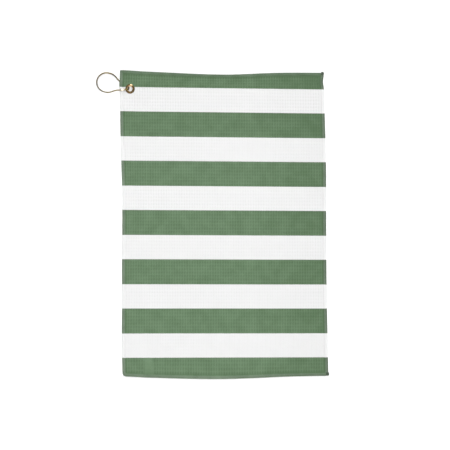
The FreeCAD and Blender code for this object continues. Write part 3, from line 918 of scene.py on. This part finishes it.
def satin_tape():
    """Plain white satin: fine ribs across the tape."""
    material, tree, shader = new_material("care_satin", 0.42, Sheen_Weight=0.2)
    place = node_of(tree, "ShaderNodeTexCoord").outputs["Object"]
    parts = tree.nodes.new("ShaderNodeSeparateXYZ")
    tree.links.new(place, parts.inputs[0])
    ribs = maths(tree, "SINE", maths(tree, "MULTIPLY", parts.outputs[1], 2 * math.pi / (0.35 * MM)))
    soft = noise(tree, place, 180.0)
    colour = blend_colour(tree, soft, (0.80, 0.79, 0.75), (0.88, 0.87, 0.84))
    tree.links.new(colour, shader.inputs["Base Color"])
    bump = node_of(tree, "ShaderNodeBump", Strength=0.5, Distance=0.03 * MM)
    tree.links.new(ribs, bump.inputs["Height"])
    tree.links.new(bump.outputs[0], shader.inputs["Normal"])
    return material


def brass(name, bright, dark, patina, roughness):
    """Drawn or pressed brass: fine marks, a little tarnish, and a dark colour where its tone is low, which
    is patina with painted shade.
    """
    material, tree, shader = new_material(name, roughness, Metallic=1.0)
    place = node_of(tree, "ShaderNodeTexCoord").outputs["Object"]
    # The tone carries polish together with a painted highlight and painted shade
    polish_and_light = node_of(tree, "ShaderNodeAttribute", attribute_name="tone").outputs["Fac"]
    tarnish = ramp(tree, noise(tree, place, 260.0, 4.0), 0.35, 0.7, 0.0, 1.0)
    marks = noise(tree, place, 2200.0, 2.0)
    metal = blend_colour(tree, tarnish, bright, dark)
    clean_and_lit = maths(tree, "ADD", polish_and_light, maths(tree, "MULTIPLY", tarnish, -0.15))
    bare_and_lit = ramp(tree, clean_and_lit, 0.15, 0.7, 0.0, 1.0)
    tree.links.new(blend_colour(tree, bare_and_lit, patina, metal), shader.inputs["Base Color"])
    rough = ramp(tree, marks, 0.2, 0.8, roughness - 0.05, roughness + 0.07)
    tree.links.new(rough, shader.inputs["Roughness"])
    bump = node_of(tree, "ShaderNodeBump", Strength=0.25, Distance=0.02 * MM)
    tree.links.new(marks, bump.inputs["Height"])
    tree.links.new(bump.outputs[0], shader.inputs["Normal"])
    return material


# ---------------------------------------------------------------- studio

VIEW_WIDTH = 895.5
VIEW_CENTRE = (24.0, -3.6)


def make_camera():
    """Straight above the towel, with its top end up in the picture."""
    data = bpy.data.cameras.new("camera")
    data.lens = 150
    camera = bpy.data.objects.new("camera", data)
    bpy.context.scene.collection.objects.link(camera)
    distance = VIEW_WIDTH * data.lens / data.sensor_width
    camera.location = (VIEW_CENTRE[0] * MM, VIEW_CENTRE[1] * MM, distance * MM)
    bpy.context.scene.camera = camera


def make_floor():
    """A pale floor, which gives off a little light of its own so that it stays near white."""
    mesh = bpy.data.meshes.new("floor")
    half = 6.0
    corners = [(-half, -half, 0), (half, -half, 0), (half, half, 0), (-half, half, 0)]
    mesh.from_pydata(corners, [], [(0, 1, 2, 3)])
    floor = bpy.data.objects.new("floor", mesh)
    floor.location.z = -0.0004
    bpy.context.scene.collection.objects.link(floor)
    material, tree, shader = new_material("floor", 0.95, Specular_IOR_Level=0.0, Emission_Strength=0.16,
                                          Emission_Color=(1.0, 1.0, 1.0, 1.0))
    place = node_of(tree, "ShaderNodeTexCoord").outputs["Object"]
    grain = noise(tree, place, 30.0)
    tree.links.new(blend_colour(tree, grain, (0.89, 0.89, 0.89), (0.91, 0.91, 0.91)),
                   shader.inputs["Base Color"])
    mesh.materials.append(material)


def area_light(name, place, size, power):
    data = bpy.data.lights.new(name, "AREA")
    data.shape = "DISK"
    data.size = size
    data.energy = power
    light = bpy.data.objects.new(name, data)
    light.location = place
    light.rotation_euler = (-Vector(place)).to_track_quat("-Z", "Y").to_euler()
    bpy.context.scene.collection.objects.link(light)


def make_world():
    """A dim studio with one long strip of soft light, from past the towel's top to past its bottom."""
    world = bpy.data.worlds.new("studio")
    bpy.context.scene.world = world
    world.use_nodes = True
    tree = world.node_tree
    direction = node_of(tree, "ShaderNodeTexCoord").outputs["Generated"]
    parts = tree.nodes.new("ShaderNodeSeparateXYZ")
    tree.links.new(direction, parts.inputs[0])
    inside = ramp(tree, maths(tree, "ABSOLUTE", parts.outputs[0]), 0.15, 0.38, 1.0, 0.0)
    level = ramp(tree, parts.outputs[1], -0.8, 0.6, 2.3, 3.4)
    strip = maths(tree, "MULTIPLY", inside, level)
    tree.nodes["Background"].inputs["Color"].default_value = (1.0, 1.0, 1.0, 1.0)
    tree.links.new(maths(tree, "ADD", strip, 0.14), tree.nodes["Background"].inputs["Strength"])


def make_studio():
    make_camera()
    make_floor()
    make_world()
    area_light("key", (1.1, 2.35, 2.2), 0.8, 10.0)
    bpy.context.scene.view_settings.view_transform = "Standard"


# ---------------------------------------------------------------- the towel

make_studio()
cloth_material = printed_fabric("printed_waffle", 0.92, 2 * math.pi / 0.62, 0.12)
thread_material = printed_fabric("printed_thread", 0.88, 2 * math.pi / 0.4, 0.06)
satin_material = satin_tape()
grommet_material = brass("set_brass", (0.88, 0.69, 0.43), (0.62, 0.45, 0.25), (0.078, 0.049, 0.020), 0.24)
catch_material = brass("catch_brass", (0.90, 0.81, 0.65), (0.77, 0.68, 0.53), (0.10, 0.07, 0.05), 0.32)
# The wire's brass is painted far darker than the grommet's: painted shade
shaded_wire_material = brass("shaded_drawn_brass", (0.15, 0.112, 0.036), (0.11, 0.082, 0.027), (0.036, 0.027, 0.011), 0.22)

cloth = make_cloth(cloth_material)
hems = make_hem(thread_material)
tails = [make_tail("top_right", CUT_WIDTH - 3.0, CUT_LENGTH - 1.4, 0.0, 5.4, -0.6, thread_material),
         make_tail("bottom_right", CUT_WIDTH - 1.3, 4.2, math.radians(-80), 6.4, -0.3, thread_material)]
make_label(satin_material)
make_grommet(grommet_material)
make_clip(shaded_wire_material, catch_material)
